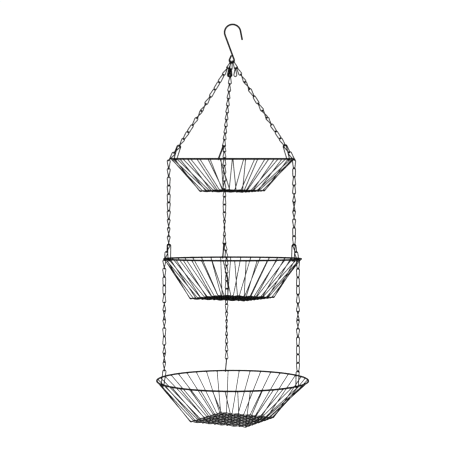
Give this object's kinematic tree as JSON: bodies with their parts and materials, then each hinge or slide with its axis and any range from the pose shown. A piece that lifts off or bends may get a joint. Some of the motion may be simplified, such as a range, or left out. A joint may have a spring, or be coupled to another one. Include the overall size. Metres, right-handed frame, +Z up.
{
  "type": "hanging wire basket",
  "caption": "Tiered hanging wire produce basket: round open wire bowls of rising size, one under another on chains from a hook.",
  "frame": {"origin": "inside top of the hook's crook, where it rests on what carries it", "axes": "+Z up along the hanging height, +Y to the back, where one of the chains hangs; the hook lies in the XZ plane, its open side towards +X"},
  "size_m": [0.305, 0.3064, 0.7916],
  "materials": {
    "hook_wire": "satin black coating on round steel wire",
    "rim_wire": "satin black coating on round steel wire",
    "mesh_wire": "satin black coating on thin round steel wire",
    "chain_wire": "satin black coating on steel chain wire"
  },
  "bodies": {
    "hook": {"hook": "hook_wire"},
    "top_tier": {"starter_link_left": "chain_wire", "upper_chain_left": "chain_wire", "top_hanger_left": "chain_wire", "over_top_rim_links_left": "chain_wire", "starter_link_right": "chain_wire", "upper_chain_right": "chain_wire", "top_hanger_right": "chain_wire", "over_top_rim_links_right": "chain_wire", "starter_link_back": "chain_wire", "upper_chain_back": "chain_wire", "top_hanger_back": "chain_wire", "over_top_rim_links_back": "chain_wire", "top_rim": "rim_wire", "top_long_wires": "mesh_wire", "top_cross_wires": "mesh_wire"},
    "tail_left": {"tail_link_left": "chain_wire"},
    "tail_right": {"tail_link_right": "chain_wire"},
    "tail_back": {"tail_link_back": "chain_wire"},
    "middle_first_link_left": {"middle_first_link_left": "chain_wire"},
    "middle_chain_left": {"middle_chain_left": "chain_wire"},
    "middle_last_link_left": {"middle_last_link_left": "chain_wire"},
    "middle_first_link_right": {"middle_first_link_right": "chain_wire"},
    "middle_chain_right": {"middle_chain_right": "chain_wire"},
    "middle_last_link_right": {"middle_last_link_right": "chain_wire"},
    "middle_first_link_back": {"middle_first_link_back": "chain_wire"},
    "middle_chain_back": {"middle_chain_back": "chain_wire"},
    "middle_last_link_back": {"middle_last_link_back": "chain_wire"},
    "middle_tier": {"middle_rim": "rim_wire", "middle_long_wires": "mesh_wire", "middle_cross_wires": "mesh_wire", "middle_hanger_left": "chain_wire", "middle_hanger_right": "chain_wire", "middle_hanger_back": "chain_wire", "over_middle_rim_links_left": "chain_wire", "over_middle_rim_links_right": "chain_wire", "over_middle_rim_links_back": "chain_wire"},
    "bottom_first_link_left": {"bottom_first_link_left": "chain_wire"},
    "bottom_chain_left": {"bottom_chain_left": "chain_wire"},
    "bottom_last_link_left": {"bottom_last_link_left": "chain_wire"},
    "bottom_first_link_right": {"bottom_first_link_right": "chain_wire"},
    "bottom_chain_right": {"bottom_chain_right": "chain_wire"},
    "bottom_last_link_right": {"bottom_last_link_right": "chain_wire"},
    "bottom_first_link_back": {"bottom_first_link_back": "chain_wire"},
    "bottom_chain_back": {"bottom_chain_back": "chain_wire"},
    "bottom_last_link_back": {"bottom_last_link_back": "chain_wire"},
    "bottom_tier": {"bottom_rim": "rim_wire", "bottom_long_wires": "mesh_wire", "bottom_cross_wires": "mesh_wire", "bottom_hanger_left": "chain_wire", "bottom_hanger_right": "chain_wire", "bottom_hanger_back": "chain_wire"}
  },
  "joints": [
    {"name": "swing_on_hook", "type": "hinge", "parent": "hook", "child": "top_tier", "pos_m": [0, 0, -0.0739], "axis": [1, 0, 0], "range_deg": [-15, 15]},
    {"name": "tail_left_swing", "type": "hinge", "parent": "top_tier", "child": "tail_left", "pos_m": [-0.00925, -0.00323, -0.08699], "axis": [-0.945, 0.0622, 0.3212], "range_deg": [-25, 25]},
    {"name": "tail_right_swing", "type": "hinge", "parent": "top_tier", "child": "tail_right", "pos_m": [0.00731, -0.0044, -0.08695], "axis": [0.923, 0.0802, 0.3763], "range_deg": [-25, 10]},
    {"name": "tail_back_swing", "type": "hinge", "parent": "top_tier", "child": "tail_back", "pos_m": [-0.0046, 0.0104, -0.08679], "axis": [0.9809, 0.1624, -0.1072], "range_deg": [-4, 15]},
    {"name": "middle_sway_fore_aft", "type": "hinge", "parent": "top_tier", "child": "middle_first_link_left", "pos_m": [-0.12527, -0.03998, -0.2723], "axis": [1, 0, 0], "range_deg": [-12, 12]},
    {"name": "middle_sway_sideways", "type": "hinge", "parent": "middle_first_link_left", "child": "middle_chain_left", "pos_m": [-0.12527, -0.03998, -0.2888], "axis": [0, 1, 0], "range_deg": [-12, 12]},
    {"name": "middle_last_link_left_levelling", "type": "hinge", "parent": "middle_chain_left", "child": "middle_last_link_left", "pos_m": [-0.12527, -0.03998, -0.4208], "axis": [0, 1, 0], "range_deg": [-12, 12]},
    {"name": "middle_first_link_right_fore_aft", "type": "hinge", "parent": "top_tier", "child": "middle_first_link_right", "pos_m": [0.11947, -0.05495, -0.2723], "axis": [1, 0, 0], "range_deg": [-12, 12]},
    {"name": "middle_chain_right_sideways", "type": "hinge", "parent": "middle_first_link_right", "child": "middle_chain_right", "pos_m": [0.11947, -0.05495, -0.2888], "axis": [0, 1, 0], "range_deg": [-12, 12]},
    {"name": "middle_last_link_right_levelling", "type": "hinge", "parent": "middle_chain_right", "child": "middle_last_link_right", "pos_m": [0.11947, -0.05495, -0.4208], "axis": [0, 1, 0], "range_deg": [-12, 12]},
    {"name": "middle_first_link_back_fore_aft", "type": "hinge", "parent": "top_tier", "child": "middle_first_link_back", "pos_m": [-0.01694, 0.1304, -0.2723], "axis": [1, 0, 0], "range_deg": [-12, 12]},
    {"name": "middle_chain_back_sideways", "type": "hinge", "parent": "middle_first_link_back", "child": "middle_chain_back", "pos_m": [-0.01694, 0.1304, -0.2888], "axis": [0, 1, 0], "range_deg": [-12, 12]},
    {"name": "middle_last_link_back_levelling", "type": "hinge", "parent": "middle_chain_back", "child": "middle_last_link_back", "pos_m": [-0.01694, 0.1304, -0.4208], "axis": [0, 1, 0], "range_deg": [-12, 12]},
    {"name": "middle_tier_levelling", "type": "hinge", "parent": "middle_last_link_left", "child": "middle_tier", "pos_m": [-0.12527, -0.03998, -0.4373], "axis": [1, 0, 0], "range_deg": [-12, 12]},
    {"name": "bottom_sway_fore_aft", "type": "hinge", "parent": "middle_tier", "child": "bottom_first_link_left", "pos_m": [-0.13314, -0.05218, -0.4672], "axis": [1, 0, 0], "range_deg": [-12, 12]},
    {"name": "bottom_sway_sideways", "type": "hinge", "parent": "bottom_first_link_left", "child": "bottom_chain_left", "pos_m": [-0.13314, -0.05218, -0.48375], "axis": [0, 1, 0], "range_deg": [-12, 12]},
    {"name": "bottom_last_link_left_levelling", "type": "hinge", "parent": "bottom_chain_left", "child": "bottom_last_link_left", "pos_m": [-0.13314, -0.05218, -0.6658], "axis": [0, 1, 0], "range_deg": [-12, 12]},
    {"name": "bottom_first_link_right_fore_aft", "type": "hinge", "parent": "middle_tier", "child": "bottom_first_link_right", "pos_m": [0.12626, -0.06713, -0.4672], "axis": [1, 0, 0], "range_deg": [-12, 12]},
    {"name": "bottom_chain_right_sideways", "type": "hinge", "parent": "bottom_first_link_right", "child": "bottom_chain_right", "pos_m": [0.12626, -0.06713, -0.48375], "axis": [0, 1, 0], "range_deg": [-12, 12]},
    {"name": "bottom_last_link_right_levelling", "type": "hinge", "parent": "bottom_chain_right", "child": "bottom_last_link_right", "pos_m": [0.12626, -0.06713, -0.6658], "axis": [0, 1, 0], "range_deg": [-12, 12]},
    {"name": "bottom_first_link_back_fore_aft", "type": "hinge", "parent": "middle_tier", "child": "bottom_first_link_back", "pos_m": [-0.01246, 0.14246, -0.4672], "axis": [1, 0, 0], "range_deg": [-12, 12]},
    {"name": "bottom_chain_back_sideways", "type": "hinge", "parent": "bottom_first_link_back", "child": "bottom_chain_back", "pos_m": [-0.01246, 0.14246, -0.48375], "axis": [0, 1, 0], "range_deg": [-12, 12]},
    {"name": "bottom_last_link_back_levelling", "type": "hinge", "parent": "bottom_chain_back", "child": "bottom_last_link_back", "pos_m": [-0.01246, 0.14246, -0.6658], "axis": [0, 1, 0], "range_deg": [-12, 12]},
    {"name": "bottom_tier_levelling", "type": "hinge", "parent": "bottom_last_link_left", "child": "bottom_tier", "pos_m": [-0.13314, -0.05218, -0.68235], "axis": [1, 0, 0], "range_deg": [-12, 12]}
  ],
  "couplings": [
    {"joint": "middle_last_link_left_levelling", "follows": "middle_sway_sideways", "ratio": -1},
    {"joint": "middle_first_link_right_fore_aft", "follows": "middle_sway_fore_aft", "ratio": 1},
    {"joint": "middle_chain_right_sideways", "follows": "middle_sway_sideways", "ratio": 1},
    {"joint": "middle_last_link_right_levelling", "follows": "middle_sway_sideways", "ratio": -1},
    {"joint": "middle_first_link_back_fore_aft", "follows": "middle_sway_fore_aft", "ratio": 1},
    {"joint": "middle_chain_back_sideways", "follows": "middle_sway_sideways", "ratio": 1},
    {"joint": "middle_last_link_back_levelling", "follows": "middle_sway_sideways", "ratio": -1},
    {"joint": "middle_tier_levelling", "follows": "middle_sway_fore_aft", "ratio": -1},
    {"joint": "bottom_last_link_left_levelling", "follows": "bottom_sway_sideways", "ratio": -1},
    {"joint": "bottom_first_link_right_fore_aft", "follows": "bottom_sway_fore_aft", "ratio": 1},
    {"joint": "bottom_chain_right_sideways", "follows": "bottom_sway_sideways", "ratio": 1},
    {"joint": "bottom_last_link_right_levelling", "follows": "bottom_sway_sideways", "ratio": -1},
    {"joint": "bottom_first_link_back_fore_aft", "follows": "bottom_sway_fore_aft", "ratio": 1},
    {"joint": "bottom_chain_back_sideways", "follows": "bottom_sway_sideways", "ratio": 1},
    {"joint": "bottom_last_link_back_levelling", "follows": "bottom_sway_sideways", "ratio": -1},
    {"joint": "bottom_tier_levelling", "follows": "bottom_sway_fore_aft", "ratio": -1}
  ]
}
